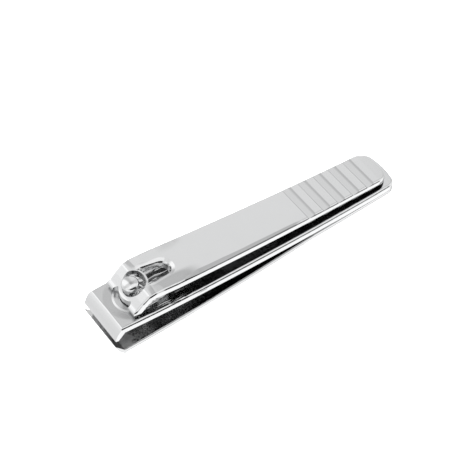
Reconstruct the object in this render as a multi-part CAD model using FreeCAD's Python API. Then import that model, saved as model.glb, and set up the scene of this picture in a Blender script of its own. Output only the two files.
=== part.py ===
"""Lever nail clipper with straight jaws, folded flat for storage. Millimetres, +Z up.

The origin is the centre of the base. The jaws are at the -X end and the joined tail of the two
arms is at the +X end. Stations along the tool are measured from the cutting edge, and the whole
model is moved back by half its length when it is written out.
"""
import FreeCAD
import Part

import math
import os

V = FreeCAD.Vector

# ---- overall -------------------------------------------------------------------------------
LENGTH = 80.0
ARM_T = 1.55                # thickness of both spring arms
EDGE_R = 0.25               # rounding of the long edges between the arms
OUTER_EDGE_R = 0.6          # rounding of the edges that the hand touches

# ---- plan outline of the arms (half widths) ------------------------------------------------
JAW_HALF_W = 6.25
MAX_HALF_W = 6.8
MAX_W_STATION = 24.0
SIDE_STATION = 55.0         # the sides are slightly bowed from the widest place to the tail
SIDE_HALF_W = 6.5
TAIL_HALF_W = 5.8
TAIL_CORNER_R = 2.5
TAIL_BOW = 0.35             # how much the tail's end bulges between its corners

# ---- how the arms part from each other -----------------------------------------------------
FORK_STATION = 54.5         # the arms bend away from each other here
FORK_RISE = 1.3             # underside of the lower arm above the table at the fork
CONTACT_STATION = 73.0      # behind this the arms lie flat on each other
STEM_GAP_DEG = 1.75         # angle between the arms from the contact to the fork

# ---- jaws ----------------------------------------------------------------------------------
UPPER_CREASE = (2.1, 9.57)
UPPER_EDGE = (0.15, 6.3)
UPPER_BULGE = (0.83, 8.2)
LOWER_CREASE = (2.35, 0.0)
LOWER_EDGE = (0.0, 4.2)
LOWER_BULGE = (0.8, 2.0)
UPPER_HEEL = (0.85, 6.12)   # back of the upper blade's honed flat
LOWER_HEEL = (0.12, 4.2)
UPPER_ROOT = 2.6            # the blades' inner faces meet the arms here
LOWER_ROOT = 2.1
CREASE_R = 0.6              # bend between the upper arm's top and its blade

# ---- pin and the holes it runs in ----------------------------------------------------------
PIN_STATION = 8.45
PIN_R = 1.9
PIN_FIT = 0.05              # radial clearance in the lower arm
PIN_PLAY = 0.4              # radial clearance in the upper arm, which tilts as the jaws close
FLANGE_R = 2.9
FLANGE_T = 0.65
SEAT_PLAY = 0.1
SHOULDER_Z = 9.95
NECK_R = 1.6
BALL_R = 2.0
BALL_Z = 13.84
BALL_RIM_R = 0.9            # rounding between the ball's girth and its flatter dome
BALL_DOME_R = 3.2
BOSS_STATION = 8.3
BOSS_BASE_R = 4.5
BOSS_TOP_R = 3.7
BOSS_H = 0.12

# ---- lever ---------------------------------------------------------------------------------
LEVER_T = 1.48
LEVER_FRONT_HALF_W = 5.35
LEVER_SHOULDER_HALF_W = 5.86
LEVER_SHOULDER_STATION = 17.0
LEVER_TAIL_HALF_W = 4.8
LEVER_TAIL = 78.3
LEVER_TAIL_R = 3.6
LIP_STATION = 5.65
LIP_Z = 11.2
RAMP_START = 6.5
RAMP_TOP = (8.05, 12.75)    # the steep ramp ends and a flatter facet follows
FACET_TOP = (9.87, 14.04)
CROWN = (11.7, 14.28)       # the back starts here
BACK_BEND = (44.25, 8.82)
TAB_BEND = (75.04, 5.93)
TAB_END_Z = 4.95
LIP_R = 1.0
LIP_ROUND = 0.6             # depth of its full-round front
CREASE_TOP_R = 0.9
CREASE_UNDER_R = 0.2
BACK_R = 820.0
TAB_R = 0.8
TAB_UNDER_R = 0.3
HINGE = (6.62, 10.89)       # centre of the lever's crossbar, where it turns on the pin
CROSSBAR_W = 0.72
CROSSBAR_REACH = 1.23
CROSSBAR_PLAY = 0.06
EYE_STATION = 9.4
EYE_HALF_W = 3.0
EYE_HALF_L = 2.62
EYE_RIM = 0.4               # what is left between the eye and the slot
NOTCH_HALF_W = 3.05
NOTCH_BACK = 6.95
NOTCH_CORNER_R = 1.0
SLOT_FRONT = 12.9           # centre of the slot's wide end, which runs into the eye
SLOT_FRONT_R = 2.3
SLOT_BACK = 16.9            # centre of its narrow end
SLOT_BACK_R = 1.8
SLOT_FLARES = ((0.0, -0.8), (0.25, -0.35), (1.0, 0.0))    # rolled-in mouth: widening, height
SLOT_WALL = 0.5
SLOT_DEPTH = 2.3            # drawn lip, from the lever's top
SHOULDER_WIDTHS = (         # sloping border along the lever's back: station, width
    (17.0, 0.0), (20.0, 1.0), (23.0, 1.45), (30.0, 1.3), (38.0, 1.15), (41.0, 1.1), (44.25, 1.05),
    (47.5, 1.0), (50.0, 0.9), (52.0, 0.6), (53.5, 0.0),
)
SHOULDER_DEG = 8.0
GROOVE_FIRST = 53.4         # front edge of the first groove
GROOVE_PITCH = 4.38
GROOVE_COUNT = 5
GROOVE_STEP = (0.3, -0.25)  # short drop at a groove's front
GROOVE_FLOOR = (1.75, -0.15)
GROOVE_W = 2.5              # its back rises in a hollow curve
GROOVE_DEPTH = 0.28
RIDGE_W = 3.2               # ridge under each groove, with the parts inside the plate

# ---- nail file let into the upper arm ------------------------------------------------------
FILE_STATION = 40.0
FILE_L = 17.0
FILE_W = 6.4
FILE_SEAT = 0.6
FILE_SUNK = 0.15
FILE_RIM_W = 0.55
FILE_RIM_H = 0.2

# ---- tail rivet ----------------------------------------------------------------------------
RIVET_STATION = 75.4
RIVET_R = 1.1
RIVET_HEAD_R = 1.8
RIVET_HEAD_H = 0.4
RIVET_TOP_R = 1.4           # the low head on the upper arm stays clear of the lever
RIVET_TOP_H = 0.25
RIVET_LIFT = 0.15           # room for the upper arm's tail to lift as the jaws close
RIVET_HOLE_PLAY = 0.15

FAR = 60.0


def lower_under(x):
    """Underside of the lower arm: up from the jaw to the fork, then down to the tail."""
    if x <= FORK_STATION:
        return FORK_RISE * (x - LOWER_CREASE[0]) / (FORK_STATION - LOWER_CREASE[0])
    return FORK_RISE * (LENGTH - x) / (LENGTH - FORK_STATION)


def lower_top(x):
    return lower_under(x) + ARM_T


def upper_under(x):
    """Underside of the upper arm: on the lower arm at the tail, then away from it."""
    if x >= CONTACT_STATION:
        return lower_top(x)
    run = math.tan(math.radians(STEM_GAP_DEG))
    if x >= FORK_STATION:
        return lower_top(x) + (CONTACT_STATION - x) * run
    fork = lower_top(FORK_STATION) + (CONTACT_STATION - FORK_STATION) * run
    jaw = UPPER_CREASE[1] - ARM_T
    share = (FORK_STATION - x) / (FORK_STATION - UPPER_CREASE[0])
    return fork + (jaw - fork) * share


def upper_top(x):
    return upper_under(x) + ARM_T


def slope(height, x, step=0.5):
    """Rise per millimetre towards the tail at station x."""
    return (height(x + step) - height(x - step)) / (2 * step)


def slope_deg(height, x):
    """Angle by which a surface falls towards the tail at station x."""
    return -math.degrees(math.atan(slope(height, x)))


def on_surface(shape, x, z, fall_deg):
    """Moves a shape built at the origin to station x, tilted with the surface there."""
    there = FreeCAD.Placement(V(x, 0, z), FreeCAD.Rotation(V(0, 1, 0), fall_deg))
    shape.Placement = there.multiply(shape.Placement)
    return shape


def side_face(edges):
    """Extrudes a closed outline in the XZ plane across the whole width."""
    face = Part.Face(Part.Wire(edges))
    solid = face.extrude(V(0, 2 * FAR, 0))
    solid.translate(V(0, -FAR, 0))
    return solid


def line(a, b):
    return Part.LineSegment(V(a[0], 0, a[1]), V(b[0], 0, b[1])).toShape()


def arc(a, mid, b):
    return Part.Arc(V(a[0], 0, a[1]), V(mid[0], 0, mid[1]), V(b[0], 0, b[1])).toShape()


def plan_line(a, b):
    return Part.LineSegment(V(a[0], a[1], 0), V(b[0], b[1], 0)).toShape()


def plan_arc(a, mid, b):
    return Part.Arc(V(a[0], a[1], 0), V(mid[0], mid[1], 0), V(b[0], b[1], 0)).toShape()


def plan_solid(edges):
    """A tall prism over a closed outline in the XY plane."""
    solid = Part.Face(Part.Wire(edges)).extrude(V(0, 0, 2 * FAR))
    solid.translate(V(0, 0, -FAR))
    return solid


def obround(length, width, height, grow=0.0):
    """A prism with round ends, centred on the origin, standing on z = 0."""
    r = width / 2 + grow
    half = length / 2 - width / 2
    edges = [
        plan_line((-half, -r), (half, -r)),
        plan_arc((half, -r), (half + r, 0), (half, r)),
        plan_line((half, r), (-half, r)),
        plan_arc((-half, r), (-half - r, 0), (-half, -r)),
    ]
    return Part.Face(Part.Wire(edges)).extrude(V(0, 0, height))


def round_edges(solid, radius, wanted):
    """Rounds the edges whose middle point passes the test."""
    chosen = [e for e in solid.Edges if wanted(e, e.valueAt(middle(e)))]
    return solid.makeFillet(radius, chosen)


def middle(edge):
    return (edge.FirstParameter + edge.LastParameter) / 2


def arm_outline():
    """The arms' shape seen from above: widest a third of the way back, rounded at the tail."""
    quarter = MAX_W_STATION / 2
    bow = JAW_HALF_W + (MAX_HALF_W - JAW_HALF_W) * 0.75
    r = TAIL_CORNER_R
    end = LENGTH - TAIL_BOW
    near_end = end - r
    bend = r * (1 - math.sqrt(0.5))
    w = TAIL_HALF_W
    side = [
        plan_arc((0, -JAW_HALF_W), (quarter, -bow), (MAX_W_STATION, -MAX_HALF_W)),
        plan_arc((MAX_W_STATION, -MAX_HALF_W), (SIDE_STATION, -SIDE_HALF_W), (near_end, -w)),
        plan_arc((near_end, -w), (end - bend, -w + bend), (end, -w + r)),
    ]
    other = [
        plan_arc((end, -w + r), (LENGTH, 0), (end, w - r)),
        plan_arc((end, w - r), (end - bend, w - bend), (near_end, w)),
        plan_arc((near_end, w), (SIDE_STATION, SIDE_HALF_W), (MAX_W_STATION, MAX_HALF_W)),
        plan_arc((MAX_W_STATION, MAX_HALF_W), (quarter, bow), (0, JAW_HALF_W)),
        plan_line((0, JAW_HALF_W), (0, -JAW_HALF_W)),
    ]
    return plan_solid(side + other)


def is_long_side(edge, point):
    """True for the outer long edges of an arm and the round of its tail."""
    inside = TAIL_HALF_W - TAIL_CORNER_R
    at_side = abs(point.y) > inside + 0.3 or point.x > LENGTH - 0.4
    upright = abs(edge.tangentAt(middle(edge)).z) > 0.9
    return at_side and not upright


def lower_stem():
    """The flat part of the lower arm behind its blade, with rounded long edges."""
    start, fork, end = LOWER_CREASE[0], FORK_STATION, LENGTH
    outline = [
        line((start, lower_under(start)), (fork, lower_under(fork))),
        line((fork, lower_under(fork)), (end, lower_under(end))),
        line((end, lower_under(end)), (end, lower_top(end))),
        line((end, lower_top(end)), (fork, lower_top(fork))),
        line((fork, lower_top(fork)), (start, lower_top(start))),
        line((start, lower_top(start)), (start, lower_under(start))),
    ]
    stem = side_face(outline).common(arm_outline())
    stem = round_edges(stem, OUTER_EDGE_R, lambda e, p: is_stem_side(e, p) and not is_high(p))
    return round_edges(stem, EDGE_R, lambda e, p: is_stem_side(e, p) and p.z > lower_top(p.x) - 0.01)


def is_stem_side(edge, point):
    """True for the long outer edges of the lower arm behind its blade."""
    return is_long_side(edge, point) and point.x > LOWER_CREASE[0] + 0.1


def is_high(point):
    """True for points in the upper half of the lower arm's thickness."""
    return point.z > lower_under(point.x) + ARM_T / 2


def lower_arm():
    """Spring leaf that carries the tool, with its blade turned up at the jaw."""
    back = LOWER_CREASE[0]
    root = (LOWER_ROOT, lower_top(LOWER_ROOT))
    outline = [
        arc(LOWER_EDGE, LOWER_BULGE, LOWER_CREASE),
        line(LOWER_CREASE, (back, lower_top(back))),
        line((back, lower_top(back)), root),
        line(root, LOWER_HEEL),
        line(LOWER_HEEL, LOWER_EDGE),
    ]
    arm = side_face(outline).common(arm_outline()).fuse(lower_stem())
    floor_z = lower_under(PIN_STATION)
    bore = Part.makeCylinder(PIN_R + PIN_FIT, FAR, V(PIN_STATION, 0, -1))
    seat_h = FLANGE_T + 2 * SEAT_PLAY
    seat = Part.makeCylinder(FLANGE_R + SEAT_PLAY, seat_h + 1, V(PIN_STATION, 0, floor_z - 1))
    hole = Part.makeCylinder(RIVET_R, FAR, V(0, 0, -FAR / 2))
    sink = Part.makeCone(RIVET_HEAD_R, RIVET_R, RIVET_HEAD_H, V(0, 0, 0))
    fall = slope_deg(lower_under, RIVET_STATION)
    for cutter in (hole, sink):
        on_surface(cutter, RIVET_STATION, lower_under(RIVET_STATION), fall)
    return arm.cut([bore, seat, hole, sink]).removeSplitter()


def upper_blank():
    """A long block under the upper arm's top surface, with rounded outer edges."""
    front = (-1, upper_top(-1))
    top = [front] + [(x, upper_top(x)) for x in (FORK_STATION, CONTACT_STATION, LENGTH)]
    corners = top + [(LENGTH, -1), (-1, -1)]
    block = side_face([line(a, b) for a, b in zip(corners, corners[1:] + corners[:1])])
    block = block.common(arm_outline())
    return round_edges(block, OUTER_EDGE_R, lambda e, p: is_long_side(e, p) and p.z > 1)


def upper_arm():
    """Spring leaf with the other blade, a pressed boss round the pin and a seat for the file."""
    top = [UPPER_CREASE] + [(x, upper_top(x)) for x in (FORK_STATION, CONTACT_STATION, LENGTH)]
    under = [(x, upper_under(x)) for x in (LENGTH, CONTACT_STATION, FORK_STATION, UPPER_ROOT)]
    corners = top + under + [UPPER_HEEL, UPPER_EDGE]
    outline = [line(a, b) for a, b in zip(corners, corners[1:])]
    arm = side_face(outline + [arc(UPPER_EDGE, UPPER_BULGE, UPPER_CREASE)])
    arm = round_edges(arm, CREASE_R, lambda e, p: abs(p.z - UPPER_CREASE[1]) < 0.01)
    arm = arm.common(upper_blank())
    fall = slope_deg(upper_top, BOSS_STATION)
    boss = Part.makeCone(BOSS_BASE_R, BOSS_TOP_R, BOSS_H + 0.1, V(0, 0, -0.1))
    on_surface(boss, BOSS_STATION, upper_top(BOSS_STATION), fall)
    dent = Part.makeCylinder(BOSS_TOP_R - 0.6, BOSS_H + 1, V(0, 0, -1))
    on_surface(dent, BOSS_STATION, upper_under(BOSS_STATION), fall)
    bore = Part.makeCylinder(PIN_R + PIN_PLAY, FAR, V(PIN_STATION, 0, -1))
    arm = arm.fuse(boss)
    fall = slope_deg(upper_top, FILE_STATION)
    rim = obround(FILE_L, FILE_W, FILE_RIM_H + 0.2, FILE_RIM_W)
    rim.translate(V(0, 0, -0.2))
    on_surface(rim, FILE_STATION, upper_top(FILE_STATION), fall)
    seat = obround(FILE_L, FILE_W, FILE_SEAT + 1)
    seat.translate(V(0, 0, -FILE_SEAT))
    on_surface(seat, FILE_STATION, upper_top(FILE_STATION), fall)
    hole = Part.makeCylinder(RIVET_R + RIVET_HOLE_PLAY, FAR, V(0, 0, -FAR / 2))
    fall = slope_deg(lower_under, RIVET_STATION)
    on_surface(hole, RIVET_STATION, upper_under(RIVET_STATION), fall)
    return arm.fuse(rim).cut([dent, bore, seat, hole]).removeSplitter()


def nail_file():
    """Obround file that lies in the seat of the upper arm, just below its rim."""
    plate = obround(FILE_L, FILE_W, FILE_SEAT - FILE_SUNK)
    plate.translate(V(0, 0, -FILE_SEAT))
    fall = slope_deg(upper_top, FILE_STATION)
    return on_surface(plate, FILE_STATION, upper_top(FILE_STATION), fall)


def tail_rivet():
    """Rivet that holds the arms together: sunk in the lower arm, low head on the upper one."""
    stack = 2 * ARM_T + RIVET_LIFT
    foot = Part.makeCone(RIVET_HEAD_R, RIVET_R, RIVET_HEAD_H)
    shank = Part.makeCylinder(RIVET_R, stack + 0.1)
    head = Part.makeCylinder(RIVET_TOP_R, RIVET_TOP_H, V(0, 0, stack))
    head = round_edges(head, RIVET_TOP_H * 0.7, lambda e, p: p.z > stack + RIVET_TOP_H / 2)
    rivet = foot.fuse([shank, head]).removeSplitter()
    fall = slope_deg(lower_under, RIVET_STATION)
    return on_surface(rivet, RIVET_STATION, lower_under(RIVET_STATION), fall)


def pivot_pin():
    """Flange under the lower arm, shank, notched neck for the crossbar, domed ball head."""
    x = PIN_STATION
    floor_z = lower_under(x) + SEAT_PLAY
    flange_top = floor_z + FLANGE_T
    neck_low = SHOULDER_Z + (PIN_R - NECK_R) * 0.4
    ball_drop = math.sqrt(BALL_R**2 - NECK_R**2)
    rim = BALL_R - BALL_RIM_R
    turn = math.acos(rim / (BALL_DOME_R - BALL_RIM_R))
    centre_z = BALL_Z - (BALL_DOME_R - BALL_RIM_R) * math.sin(turn)
    crown = centre_z + BALL_DOME_R
    lower = (x + BALL_R * math.cos(-0.3), BALL_Z + BALL_R * math.sin(-0.3))
    rim_mid = (x + rim + BALL_RIM_R * math.cos(turn / 2), BALL_Z + BALL_RIM_R * math.sin(turn / 2))
    rim_end = (x + BALL_DOME_R * math.cos(turn), centre_z + BALL_DOME_R * math.sin(turn))
    up = (turn + math.pi / 2) / 2
    dome_mid = (x + BALL_DOME_R * math.cos(up), centre_z + BALL_DOME_R * math.sin(up))
    outline = [
        line((x, floor_z), (x + FLANGE_R, floor_z)),
        line((x + FLANGE_R, floor_z), (x + FLANGE_R, flange_top)),
        line((x + FLANGE_R, flange_top), (x + PIN_R, flange_top)),
        line((x + PIN_R, flange_top), (x + PIN_R, SHOULDER_Z)),
        line((x + PIN_R, SHOULDER_Z), (x + NECK_R, neck_low)),
        line((x + NECK_R, neck_low), (x + NECK_R, BALL_Z - ball_drop)),
        arc((x + NECK_R, BALL_Z - ball_drop), lower, (x + BALL_R, BALL_Z)),
        arc((x + BALL_R, BALL_Z), rim_mid, rim_end),
        arc(rim_end, dome_mid, (x, crown)),
        line((x, crown), (x, floor_z)),
    ]
    pin = Part.Face(Part.Wire(outline)).revolve(V(x, 0, 0), V(0, 0, 1), 360)
    reach = CROSSBAR_REACH + CROSSBAR_PLAY
    notch = Part.makeCylinder(reach, 2 * FAR, V(HINGE[0], -FAR, HINGE[1]), V(0, 1, 0))
    return pin.cut(notch).removeSplitter()


def offset_path(points, distance):
    """The same bent path, moved to the right of its direction by a distance."""
    moved = []
    for i, point in enumerate(points):
        before = points[max(i - 1, 0)]
        after = points[min(i + 1, len(points) - 1)]
        ways = [(b[0] - a[0], b[1] - a[1]) for a, b in ((before, point), (point, after)) if a != b]
        normals = [(z / math.hypot(x, z), -x / math.hypot(x, z)) for x, z in ways]
        nx = sum(n[0] for n in normals) / len(normals)
        nz = sum(n[1] for n in normals) / len(normals)
        size = nx * nx + nz * nz
        moved.append((point[0] + nx * distance / size, point[1] + nz * distance / size))
    return moved


def rounded_path(points, radii):
    """Straight runs through the points, joined by tangent arcs of the radii at the inner ones."""
    edges = []
    start = points[0]
    for i, radius in enumerate(radii, 1):
        a, p, b = points[i - 1], points[i], points[i + 1]
        u = unit(a, p)
        w = unit(p, b)
        turn = math.acos(max(-1.0, min(1.0, u[0] * w[0] + u[1] * w[1])))
        reach = radius * math.tan(turn / 2)
        first = (p[0] - u[0] * reach, p[1] - u[1] * reach)
        last = (p[0] + w[0] * reach, p[1] + w[1] * reach)
        inward = unit((0, 0), (w[0] - u[0], w[1] - u[1]))
        depth = radius / math.cos(turn / 2) - radius
        mid = (p[0] + inward[0] * depth, p[1] + inward[1] * depth)
        edges += [line(start, first), arc(first, mid, last)]
        start = last
    edges.append(line(start, points[-1]))
    return edges


def unit(a, b):
    dx, dz = b[0] - a[0], b[1] - a[1]
    size = math.hypot(dx, dz)
    return dx / size, dz / size


def lever_top_points():
    return [
        (LIP_STATION, LIP_Z),
        (RAMP_START, LIP_Z),
        RAMP_TOP,
        FACET_TOP,
        CROWN,
        BACK_BEND,
        TAB_BEND,
        (LEVER_TAIL, TAB_END_Z),
    ]


def lever_block():
    """Everything under the lever's top surface, with its outer top edges rounded."""
    radii = [LIP_R] + [CREASE_TOP_R] * 3 + [BACK_R, TAB_R]
    path = rounded_path(lever_top_points(), radii)
    low = [(LEVER_TAIL, TAB_END_Z), (LEVER_TAIL, -FAR), (LIP_STATION, -FAR), (LIP_STATION, LIP_Z)]
    block = side_face(path + [line(a, b) for a, b in zip(low, low[1:])])
    block = block.common(lever_outline())
    return round_edges(block, OUTER_EDGE_R, lambda e, p: is_lever_side(e, p) and p.z > 0)


def below_lever():
    """Everything under the lever's lower surface."""
    under = offset_path(lever_top_points(), LEVER_T)
    radii = [LIP_R + LEVER_T] + [CREASE_UNDER_R] * 3 + [BACK_R + LEVER_T, TAB_UNDER_R]
    tail, lip = under[-1], under[0]
    low = [lip, (-5, lip[1]), (-5, -2 * FAR), (LENGTH, -2 * FAR), (LENGTH, tail[1] - 1), tail]
    path = rounded_path(under[::-1], radii[::-1])
    return side_face(path + [line(a, b) for a, b in zip(low, low[1:])])


def lip_corners():
    """What is cleared off the lever's front lip to leave it fully round."""
    r = LEVER_T / 2
    box = Part.makeBox(LIP_ROUND + 2, 40, 6, V(LIP_STATION - 2, -20, LIP_Z - r - 3))
    return box.cut(Part.makeCylinder(r, 40, V(LIP_STATION + r, -20, LIP_Z - r), V(0, 1, 0)))


def lever_outline():
    """The lever's shape seen from above."""
    r = LEVER_TAIL_R
    bend = r * (1 - math.sqrt(0.5))
    w, f, s = LEVER_TAIL_HALF_W, LEVER_FRONT_HALF_W, LEVER_SHOULDER_HALF_W
    end = LEVER_TAIL - r
    at = LEVER_SHOULDER_STATION
    lip = LIP_STATION - 1
    mid = ((lip + at) / 2, f + (s - f) * 0.72)
    edges = [
        plan_arc((lip, -f), (mid[0], -mid[1]), (at, -s)),
        plan_line((at, -s), (end, -w)),
        plan_arc((end, -w), (LEVER_TAIL - bend, -w + bend), (LEVER_TAIL, -w + r)),
        plan_line((LEVER_TAIL, -w + r), (LEVER_TAIL, w - r)),
        plan_arc((LEVER_TAIL, w - r), (LEVER_TAIL - bend, w - bend), (end, w)),
        plan_line((end, w), (at, s)),
        plan_arc((at, s), mid, (lip, f)),
        plan_line((lip, f), (lip, -f)),
    ]
    return plan_solid(edges)


def back_height(x):
    """Height of the lever's straight back line above station x."""
    points = [CROWN, BACK_BEND, TAB_BEND]
    a, b = (points[0], points[1]) if x < BACK_BEND[0] else (points[1], points[2])
    falls = [(points[i][1] - points[i + 1][1]) / (points[i + 1][0] - points[i][0]) for i in (0, 1)]
    reach = BACK_R * (falls[0] - falls[1]) / 2
    sag = 0.5 * max(0.0, reach - abs(x - BACK_BEND[0])) ** 2 / BACK_R
    return a[1] + (b[1] - a[1]) * (x - a[0]) / (b[0] - a[0]) + sag


def front_notch():
    """The opening in the lever's front edge; its back follows the rim of the eye."""
    front = LIP_STATION - 2
    size = V(NOTCH_BACK - front, 2 * NOTCH_HALF_W, FAR)
    box = Part.makeBox(size.x, size.y, size.z, V(front, -NOTCH_HALF_W, -10))
    box = round_edges(box, NOTCH_CORNER_R, lambda e, p: p.x > NOTCH_BACK - 0.01 and e.Length > 20)
    return box.cut(eye(CROSSBAR_W))


def eye(grow=0.0):
    """The hole the pin passes through, or the larger outline that shapes its rim."""
    ring = Part.Ellipse(V(0, 0, 0), EYE_HALF_W + grow, EYE_HALF_L + grow).toShape()
    ring.rotate(V(0, 0, 0), V(0, 0, 1), 90)
    tool = Part.Face(Part.Wire(ring)).extrude(V(0, 0, FAR))
    tool.translate(V(EYE_STATION, 0, 0))
    return tool


def slot_wire(grow, z):
    """Outline of the slot, tapering to its back end, offset outwards and set at a height."""
    big, small = SLOT_FRONT_R + grow, SLOT_BACK_R + grow
    lean = math.asin((SLOT_FRONT_R - SLOT_BACK_R) / (SLOT_BACK - SLOT_FRONT))
    half = (SLOT_BACK - SLOT_FRONT) / 2
    front = V(-half + big * math.sin(lean), big * math.cos(lean), z)
    back = V(half + small * math.sin(lean), small * math.cos(lean), z)
    front_low, back_low = V(front.x, -front.y, z), V(back.x, -back.y, z)
    edges = [
        Part.LineSegment(front, back).toShape(),
        Part.Arc(back, V(half + small, 0, z), back_low).toShape(),
        Part.LineSegment(back_low, front_low).toShape(),
        Part.Arc(front_low, V(-half - big, 0, z), front).toShape(),
    ]
    return Part.Wire(edges)


def slot_prism(grow, low, high):
    """The slot's outline made solid between two heights below or above the lever's back."""
    x = (SLOT_FRONT + SLOT_BACK) / 2
    prism = Part.Face(slot_wire(grow, low)).extrude(V(0, 0, high - low))
    return on_surface(prism, x, back_height(x), slope_deg(back_height, x))


def slot_mouth():
    """The flared top of the slot, where the plate rolls in."""
    x = (SLOT_FRONT + SLOT_BACK) / 2
    wires = [slot_wire(grow, z) for grow, z in SLOT_FLARES + ((SLOT_FLARES[-1][0], 2.0),)]
    mouth = Part.makeLoft(wires, True, True)
    return on_surface(mouth, x, back_height(x), slope_deg(back_height, x))


def lever():
    """Pressed lever: notched lip, eye for the pin, drawn slot and grooved thumb rest."""
    sleeve = slot_prism(SLOT_WALL, -SLOT_DEPTH, -LEVER_T / 2)
    plate = lever_block().cut([below_lever(), lip_corners()])
    plate = add_ridges(plate.fuse(sleeve))
    rim = eye(EYE_RIM)
    slot = slot_prism(0, -8, 8).cut(rim)
    mouth = slot_mouth().cut(rim)
    cutters = [eye(), front_notch(), slot, mouth, shoulder(1), shoulder(-1)] + groove_cutters()
    return plate.cut(cutters).removeSplitter()


def is_lever_side(edge, point):
    """True for the lever's long edges and the round of its tail, not for its front lip."""
    inside = LEVER_TAIL_HALF_W - LEVER_TAIL_R
    at_side = abs(point.y) > inside + 0.3 or point.x > LEVER_TAIL - 0.4
    upright = abs(edge.tangentAt(middle(edge)).z) > 0.9
    return at_side and not upright and point.x > RAMP_START


def shoulder(side):
    """What is cleared above the sloping border along one side of the lever's back."""
    first, last = LEVER_SHOULDER_STATION, LEVER_TAIL - LEVER_TAIL_R
    fall = math.tan(math.radians(SHOULDER_DEG))
    sections = []
    for x, width in SHOULDER_WIDTHS:
        share = (x - first) / (last - first)
        edge = LEVER_SHOULDER_HALF_W + (LEVER_TAIL_HALF_W - LEVER_SHOULDER_HALF_W) * share
        inner = edge - width
        z = back_height(x)
        corners = ((inner, z), (inner + 4, z - 4 * fall), (inner + 4, z + 1), (inner, z + 1))
        points = [V(x, side * y, height) for y, height in corners]
        sections.append(Part.makePolygon(points + points[:1]))
    return Part.makeLoft(sections, True, True)


def groove_places():
    """Front edges of the grooves along the lever's back."""
    return [GROOVE_FIRST + i * GROOVE_PITCH for i in range(GROOVE_COUNT)]


def groove_cutters():
    """A short drop, a nearly flat floor and a hollow rise back to the surface."""
    corners = [(GROOVE_W, 0), (GROOVE_W, 1), (-0.3, 1), (-0.3, 0), (0, 0), GROOVE_STEP, GROOVE_FLOOR]
    floor_slope = (GROOVE_FLOOR[1] - GROOVE_STEP[1]) / (GROOVE_FLOOR[0] - GROOVE_STEP[0])
    run = GROOVE_W - GROOVE_FLOOR[0]
    hollow = (-GROOVE_FLOOR[1] / run - floor_slope) * run / 4
    mid = ((GROOVE_FLOOR[0] + GROOVE_W) / 2, GROOVE_FLOOR[1] / 2 - hollow)
    outline = [line(a, b) for a, b in zip(corners, corners[1:])]
    tool = side_face(outline + [arc(GROOVE_FLOOR, mid, corners[0])])
    return [
        on_surface(tool.copy(), x, back_height(x), slope_deg(back_height, x))
        for x in groove_places()
    ]


def add_ridges(plate):
    """The ridges that the pressed grooves raise on the lever's underside."""
    hollow_r = ((GROOVE_W / 2) ** 2 + GROOVE_DEPTH**2) / (2 * GROOVE_DEPTH)
    r = hollow_r + LEVER_T
    for place in groove_places():
        x = place + GROOVE_W / 2
        ridge = Part.makeCylinder(r, 40, V(0, -20, hollow_r - GROOVE_DEPTH), V(0, 1, 0))
        ridge = ridge.common(Part.makeBox(RIDGE_W, 40, r, V(-RIDGE_W / 2, -20, -r - 1.1)))
        on_surface(ridge, x, back_height(x), slope_deg(back_height, x))
        plate = plate.fuse(ridge.common(lever_outline()))
    return plate


NODES = {
    "lower_arm": lower_arm,
    "upper_arm": upper_arm,
    "nail_file": nail_file,
    "tail_rivet": tail_rivet,
    "pivot_pin": pivot_pin,
    "lever": lever,
}


def main():
    os.makedirs("parts", exist_ok=True)
    for name, build in NODES.items():
        shape = build()
        shape.translate(V(-LENGTH / 2, 0, 0))
        shape.exportStep("parts/%s.step" % name)
        box = shape.BoundBox
        sizes = (box.XMin, box.XMax, box.YMin, box.YMax, box.ZMin, box.ZMax)
        spans = " ".join("%.2f" % v for v in sizes)
        print(name, "solids", len(shape.Solids), "valid", shape.isValid(), spans)


main()
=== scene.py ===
"""Looks of the lever nail clipper: plated steel on a white floor in a light tent."""

import bpy
from mathutils import Matrix, Vector

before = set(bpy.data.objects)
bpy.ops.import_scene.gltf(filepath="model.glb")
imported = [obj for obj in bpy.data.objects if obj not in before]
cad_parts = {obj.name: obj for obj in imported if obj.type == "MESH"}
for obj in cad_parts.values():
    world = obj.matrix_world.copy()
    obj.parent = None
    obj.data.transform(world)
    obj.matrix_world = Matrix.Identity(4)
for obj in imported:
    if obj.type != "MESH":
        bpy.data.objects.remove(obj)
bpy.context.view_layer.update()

MM = 0.001


# ---- camera ----------------------------------------------------------------------------------
CAMERA_AT = Vector((-123.475, -163.606, 278.45)) * MM
CAMERA_LOOK = Vector((0.35412, 0.49328, -0.79453))
CAMERA_UP = Vector((0.46617, 0.64340, 0.60722))
CAMERA_LENS = 119.5
CAMERA_SENSOR = 36.0


def add_camera():
    data = bpy.data.cameras.new("view")
    data.lens = CAMERA_LENS
    data.sensor_width = CAMERA_SENSOR
    data.clip_start = 0.01
    data.clip_end = 20.0
    camera = bpy.data.objects.new("view", data)
    back = -CAMERA_LOOK.normalized()
    right = CAMERA_UP.cross(back).normalized()
    up = back.cross(right)
    turn = Matrix((right, up, back)).transposed()
    camera.matrix_world = Matrix.Translation(CAMERA_AT) @ turn.to_4x4()
    bpy.context.scene.collection.objects.link(camera)
    bpy.context.scene.camera = camera


# ---- materials -------------------------------------------------------------------------------
STEEL = (0.5, 0.503, 0.506, 1.0)
# darker copy of the plating for the lower arm: painted shade for the object's own shadow near the
# floor and between the arms
SHADED_STEEL = (0.43, 0.433, 0.436, 1.0)
# near black for the pin below its neck: painted shade under the lever
SHANK_SHADE = (0.06, 0.06, 0.062, 1.0)
# near white for the far wall of the lever's slot: painted highlight
SLOT_WALL_HIGHLIGHT = (0.97, 0.97, 0.97, 1.0)
FILE_STEEL = (0.42, 0.43, 0.44, 1.0)

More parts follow.
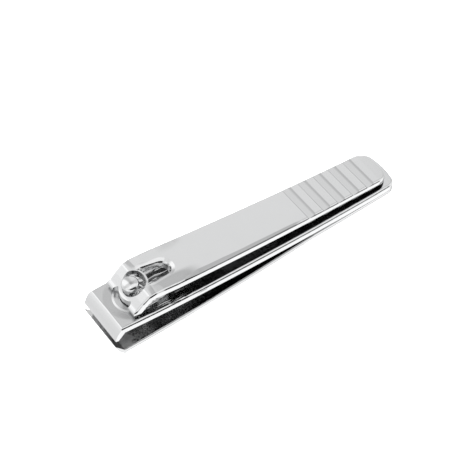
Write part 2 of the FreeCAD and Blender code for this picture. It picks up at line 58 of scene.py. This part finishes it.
EVEN = (1.0, 1.0, 1.0)
LENGTHWISE = (0.06, 1.0, 1.0)       # stretches a pattern along the tool
SCRATCH_WISE = (0.15, 1.0, 0.4)
FLAT = (1.0, 1.0, 0.0)              # leaves the height out
LINE_DEPTH = 0.02 * MM
SCRATCH_DEPTH = 0.12 * MM
CUT_DEPTH = 0.12 * MM
DISH_DEPTH = 0.5 * MM               # how far the lever is drawn down beside its slot
RING_DROP = 0.22 * MM               # the same for the upper arm outside the ring at the pin
PIN_PLACE = (-31.55 * MM, 0.0, 0.0)
RAW_ROUGHNESS = 0.6                 # added to the unpolished face between the jaws

# Where each change of surface starts and ends, in millimetres: along the tool, aside from its
# middle, outwards from the pin, or up.
STREAKS_BEGIN = (-31.5, -30.0)
STREAKS_END = (-24.0, -18.0)
DISH_ASIDE = (2.2, 6.0)
DISH_BEGIN = (-29.5, -26.0)
DISH_END = (-22.0, -14.5)
SLOT_WALL_ASIDE = (3.1, 3.4)
SLOT_WALL_BEGIN = (-28.5, -27.5)
RING_EDGE = (4.1, 6.4)
JAW_FACE_END = (-36.0, -27.5)
SHANK_TOP = (8.5, 9.5)


class Nodes:
    """A short way to build one material's node tree."""

    def __init__(self, name):
        self.material = bpy.data.materials.new(name)
        self.material.use_nodes = True
        self.tree = self.material.node_tree
        self.tree.nodes.clear()
        self.shader = self.add("ShaderNodeBsdfPrincipled")
        out = self.add("ShaderNodeOutputMaterial")
        self.link(self.shader.outputs["BSDF"], out.inputs["Surface"])

    def add(self, kind, **settings):
        node = self.tree.nodes.new(kind)
        for key, value in settings.items():
            setattr(node, key, value)
        return node

    def link(self, a, b):
        self.tree.links.new(a, b)

    def places(self, scale):
        """Object coordinates, stretched by a factor along each axis."""
        coords = self.add("ShaderNodeTexCoord")
        mapping = self.add("ShaderNodeMapping")
        mapping.inputs["Scale"].default_value = scale
        self.link(coords.outputs["Object"], mapping.inputs["Vector"])
        return mapping.outputs["Vector"]

    def part_of(self, source, axis):
        """One component of the object coordinates or of the surface normal."""
        coords = self.add("ShaderNodeTexCoord")
        parts = self.add("ShaderNodeSeparateXYZ")
        self.link(coords.outputs[source], parts.inputs["Vector"])
        return parts.outputs[axis]

    def noise(self, scale, detail, vector, roughness=0.5):
        node = self.add("ShaderNodeTexNoise")
        node.inputs["Scale"].default_value = scale
        node.inputs["Detail"].default_value = detail
        node.inputs["Roughness"].default_value = roughness
        self.link(vector, node.inputs["Vector"])
        return node.outputs["Fac"]

    def spread(self, value, low, high, start=0.0, end=1.0, eased=False):
        """Maps start..end of a value to low..high, straight or easing in and out."""
        node = self.add("ShaderNodeMapRange")
        node.interpolation_type = "SMOOTHSTEP" if eased else "LINEAR"
        node.inputs["From Min"].default_value = start
        node.inputs["From Max"].default_value = end
        node.inputs["To Min"].default_value = low
        node.inputs["To Max"].default_value = high
        self.link(value, node.inputs["Value"])
        return node.outputs["Result"]

    def rise(self, value, span, eased=False):
        """From 0 at the start of a span in millimetres to 1 at its end."""
        return self.spread(value, 0.0, 1.0, span[0] * MM, span[1] * MM, eased)

    def fall(self, value, span, eased=False):
        """From 1 at the start of a span in millimetres to 0 at its end."""
        return self.spread(value, 1.0, 0.0, span[0] * MM, span[1] * MM, eased)

    def math(self, kind, *values):
        node = self.add("ShaderNodeMath", operation=kind)
        for socket, value in zip(node.inputs, values):
            if isinstance(value, float):
                socket.default_value = value
            else:
                self.link(value, socket)
        return node.outputs["Value"]

    def product(self, first, *others):
        for other in others:
            first = self.math("MULTIPLY", first, other)
        return first

    def shade(self, share, low, high):
        """Base colour that runs from one colour to another as the share goes from 0 to 1."""
        node = self.add("ShaderNodeValToRGB")
        node.color_ramp.elements[0].color = low
        node.color_ramp.elements[1].color = high
        self.link(share, node.inputs["Fac"])
        self.link(node.outputs["Color"], self.shader.inputs["Base Color"])

    def bump(self, height, distance, strength, under=None):
        node = self.add("ShaderNodeBump")
        node.inputs["Distance"].default_value = distance
        node.inputs["Strength"].default_value = strength
        self.link(height, node.inputs["Height"])
        if under is not None:
            self.link(under, node.inputs["Normal"])
        return node.outputs["Normal"]


class Plating(Nodes):
    """Polished plating: a little uneven, with faint lengthwise polishing lines."""

    def __init__(self, name, colour, rough, lines):
        super().__init__(name)
        self.colour = colour
        self.shader.inputs["Metallic"].default_value = 1.0
        self.shader.inputs["Base Color"].default_value = colour
        streaks = self.noise(900.0, 3.0, self.places(LENGTHWISE))
        cloud = self.noise(160.0, 4.0, self.places(EVEN))
        self.rough = self.spread(cloud, rough[0], rough[1], 0.3, 0.7)
        self.normal = self.bump(streaks, LINE_DEPTH, lines)

    def finish(self):
        self.link(self.rough, self.shader.inputs["Roughness"])
        self.link(self.normal, self.shader.inputs["Normal"])
        return self.material

    def draw_down(self, height):
        """Bends the surface by a smooth height in metres."""
        self.normal = self.bump(height, 1.0, 1.0, self.normal)

    def scratch(self, strength):
        """Worn streaks on the upper arm behind the pin, where the lever's lip turns."""
        along = self.part_of("Object", "X")
        marks = self.noise(900.0, 2.0, self.places(SCRATCH_WISE))
        marks = self.spread(marks, 0.0, 1.0, 0.52, 0.62)
        begin = self.rise(along, STREAKS_BEGIN)
        end = self.fall(along, STREAKS_END)
        worn = self.product(marks, begin, end)
        self.normal = self.bump(worn, SCRATCH_DEPTH, strength, self.normal)

    def dish(self):
        """The soft hollows on both sides of the lever's slot."""
        along = self.part_of("Object", "X")
        aside = self.math("ABSOLUTE", self.part_of("Object", "Y"))
        beside = self.rise(aside, DISH_ASIDE, eased=True)
        begin = self.rise(along, DISH_BEGIN, eased=True)
        end = self.fall(along, DISH_END, eased=True)
        self.draw_down(self.product(beside, begin, end, -DISH_DEPTH))

    def paint_slot_highlight(self):
        """Painted highlight: the far wall of the lever's slot is made brighter than the faces
        round it.
        """
        facing = self.spread(self.part_of("Normal", "Y"), 1.0, 0.0, -0.85, -0.6)
        aside = self.math("ABSOLUTE", self.part_of("Object", "Y"))
        inside = self.fall(aside, SLOT_WALL_ASIDE)
        past_eye = self.rise(self.part_of("Object", "X"), SLOT_WALL_BEGIN)
        self.shade(self.product(facing, inside, past_eye), self.colour, SLOT_WALL_HIGHLIGHT)

    def drop_outside_ring(self):
        """The upper arm falls away gently outside the ring pressed round the pin."""
        away = self.add("ShaderNodeVectorMath", operation="DISTANCE")
        away.inputs[1].default_value = PIN_PLACE
        self.link(self.places(FLAT), away.inputs[0])
        edge = [distance * MM for distance in RING_EDGE]
        self.draw_down(self.spread(away.outputs["Value"], 0.0, -RING_DROP, *edge, eased=True))

    def roughen_jaw(self):
        """The upper face near the jaw is unpolished and speckled."""
        facing_up = self.spread(self.part_of("Normal", "Z"), 0.0, 1.0, 0.55, 0.8)
        near_jaw = self.fall(self.part_of("Object", "X"), JAW_FACE_END)
        specks = self.noise(2200.0, 3.0, self.places(EVEN), 0.7)
        specks = self.spread(specks, 0.35, 1.0, 0.4, 0.6)
        raw = self.product(facing_up, near_jaw, specks)
        self.rough = self.math("MULTIPLY_ADD", raw, RAW_ROUGHNESS, self.rough)

    def shade_shank(self):
        """Below the pin's neck the base colour is near black: painted shade under the lever and in
        its hole.
        """
        out_of_shade = self.rise(self.part_of("Object", "Z"), SHANK_TOP)
        self.shade(out_of_shade, SHANK_SHADE, self.colour)


def lever_surface():
    m = Plating("lever_plating", STEEL, rough=(0.07, 0.13), lines=0.12)
    m.dish()
    # painted highlight on the far wall of the slot
    m.paint_slot_highlight()
    return m.finish()


def upper_arm_surface():
    m = Plating("upper_plating", STEEL, rough=(0.1, 0.18), lines=0.15)
    m.scratch(0.6)
    m.drop_outside_ring()
    return m.finish()


def lower_arm_surface():
    # the lower arm takes the darker plating colour: painted shade near the floor and between the
    # arms
    m = Plating("lower_plating", SHADED_STEEL, rough=(0.06, 0.12), lines=0.1)
    m.roughen_jaw()
    return m.finish()


def pin_surface():
    m = Plating("pin_plating", STEEL, rough=(0.08, 0.14), lines=0.05)
    # painted shade: the pin's shank under the lever turns near black
    m.shade_shank()
    return m.finish()


def rivet_surface():
    return Plating("rivet_plating", STEEL, rough=(0.12, 0.2), lines=0.1).finish()


def file_surface():
    """Cross-cut file: fine raised points with worn crests."""
    m = Nodes("file_cuts")
    m.shader.inputs["Metallic"].default_value = 1.0
    m.shader.inputs["Base Color"].default_value = FILE_STEEL
    points = m.add("ShaderNodeTexVoronoi")
    points.inputs["Scale"].default_value = 2600.0
    m.link(m.places(EVEN), points.inputs["Vector"])
    height = points.outputs["Distance"]
    m.link(m.bump(height, CUT_DEPTH, 1.0), m.shader.inputs["Normal"])
    m.link(m.spread(height, 0.25, 0.5), m.shader.inputs["Roughness"])
    return m.material


def dress(node, material):
    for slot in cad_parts[node].material_slots:
        slot.material = material


# ---- floor and light -------------------------------------------------------------------------
FLOOR_HALF = 3.0                    # metres
FLOOR_WHITE = (0.9, 0.9, 0.9, 1.0)
FLOOR_GLOW = 0.8


def add_floor():
    """A white floor, lit evenly from within; the steel reflects the tent's table instead."""
    half = FLOOR_HALF
    mesh = bpy.data.meshes.new("floor")
    corners = [(-half, -half, 0), (half, -half, 0), (half, half, 0), (-half, half, 0)]
    mesh.from_pydata(corners, [], [(0, 1, 2, 3)])
    floor = bpy.data.objects.new("floor", mesh)
    bpy.context.scene.collection.objects.link(floor)
    m = Nodes("white_floor")
    m.shader.inputs["Base Color"].default_value = FLOOR_WHITE
    m.shader.inputs["Roughness"].default_value = 0.9
    m.shader.inputs["Emission Color"].default_value = (1.0, 1.0, 1.0, 1.0)
    m.shader.inputs["Emission Strength"].default_value = FLOOR_GLOW
    mesh.materials.append(m.material)
    floor.visible_glossy = False


def ramp(tree, value, stops):
    """Greys along one component of a direction; stops are (component, brightness)."""
    place = tree.nodes.new("ShaderNodeMath")
    place.operation = "MULTIPLY_ADD"
    place.inputs[1].default_value = 0.5
    place.inputs[2].default_value = 0.5
    tree.links.new(value, place.inputs[0])
    node = tree.nodes.new("ShaderNodeValToRGB")
    elements = node.color_ramp.elements
    while len(elements) < len(stops):
        elements.new(0.5)
    for element, (at, grey) in zip(elements, stops):
        element.position = (at + 1) / 2
        element.color = (grey, grey, grey, 1.0)
    tree.links.new(place.outputs["Value"], node.inputs["Fac"])
    return node.outputs["Color"]


def blend(tree, kind, a, b, share=None):
    """Mixes two colours, fully or by a share; sockets 6 and 7 and output 2 are the colours."""
    node = tree.nodes.new("ShaderNodeMix")
    node.data_type = "RGBA"
    node.blend_type = kind
    node.inputs[0].default_value = 1.0
    if share is not None:
        tree.links.new(share, node.inputs[0])
    tree.links.new(a, node.inputs[6])
    tree.links.new(b, node.inputs[7])
    return node.outputs[2]


# The light tent. Each line lists brightness against one component of the direction, -1 to +1.
TENT_STRENGTH = 2.4
SKY_X = (       # the tent from the jaw's end to the tail's end: dark overhead, lighter at the tail
    (-1.0, 0.57), (-0.86, 0.58), (-0.8, 0.65), (-0.6, 0.69), (-0.42, 0.8), (-0.04, 0.8),
    (0.04, 0.66), (0.14, 0.4), (0.32, 0.4), (0.44, 0.5), (0.52, 0.57), (0.72, 0.57),
    (0.85, 0.53), (1.0, 0.5),
)
SKY_Y = (       # and across: a dark strip low in front, bright behind the object
    (-1.0, 0.03), (-0.72, 0.04), (-0.6, 0.6), (-0.5, 1.0), (-0.2, 1.0), (-0.02, 0.72),
    (0.28, 0.66), (0.47, 1.0), (1.0, 1.0),
)
NEAR_Y = (      # a bright panel above the front
    (-1.0, 0.0), (-0.66, 0.0), (-0.54, 0.66), (-0.1, 0.7), (0.02, 0.42), (0.1, 0.0),
)
TABLE_X = ((-1.0, 0.56), (-0.45, 0.56), (-0.15, 0.08), (0.1, 0.02))
TABLE_Y = ((-1.0, 0.8), (-0.35, 0.78), (-0.1, 0.4), (0.2, 0.02))
TABLE_Z = ((-1.0, 0.0), (-0.66, 0.0), (-0.5, 0.42), (0.0, 0.5))    # light again further off
ENDS_X = ((-1.0, 0.5), (-0.64, 0.5), (-0.46, 0.0), (0.5, 0.0), (0.66, 0.46), (1.0, 0.46))
HORIZON = ((-0.16, 0.0), (-0.02, 1.0))


def add_world():
    """A white tent with darker strips, standing on a table that is dark round the object."""
    world = bpy.data.worlds.new("studio")
    world.use_nodes = True
    tree = world.node_tree
    coords = tree.nodes.new("ShaderNodeTexCoord")
    parts = tree.nodes.new("ShaderNodeSeparateXYZ")
    tree.links.new(coords.outputs["Generated"], parts.inputs["Vector"])
    x, y, z = parts.outputs
    sky = blend(tree, "MULTIPLY", ramp(tree, x, SKY_X), ramp(tree, y, SKY_Y))
    sky = blend(tree, "LIGHTEN", sky, ramp(tree, y, NEAR_Y))
    table = blend(tree, "LIGHTEN", ramp(tree, x, TABLE_X), ramp(tree, y, TABLE_Y))
    table = blend(tree, "LIGHTEN", table, ramp(tree, z, TABLE_Z))
    tent = blend(tree, "MIX", table, sky, ramp(tree, z, HORIZON))
    tent = blend(tree, "LIGHTEN", tent, ramp(tree, x, ENDS_X))
    back = tree.nodes["Background"]
    tree.links.new(tent, back.inputs["Color"])
    back.inputs["Strength"].default_value = TENT_STRENGTH
    bpy.context.scene.world = world


add_camera()
add_floor()
add_world()

dress("lever", lever_surface())
dress("upper_arm", upper_arm_surface())
dress("lower_arm", lower_arm_surface())
dress("pivot_pin", pin_surface())
dress("tail_rivet", rivet_surface())
dress("nail_file", file_surface())

bpy.context.scene.view_settings.view_transform = "Standard"
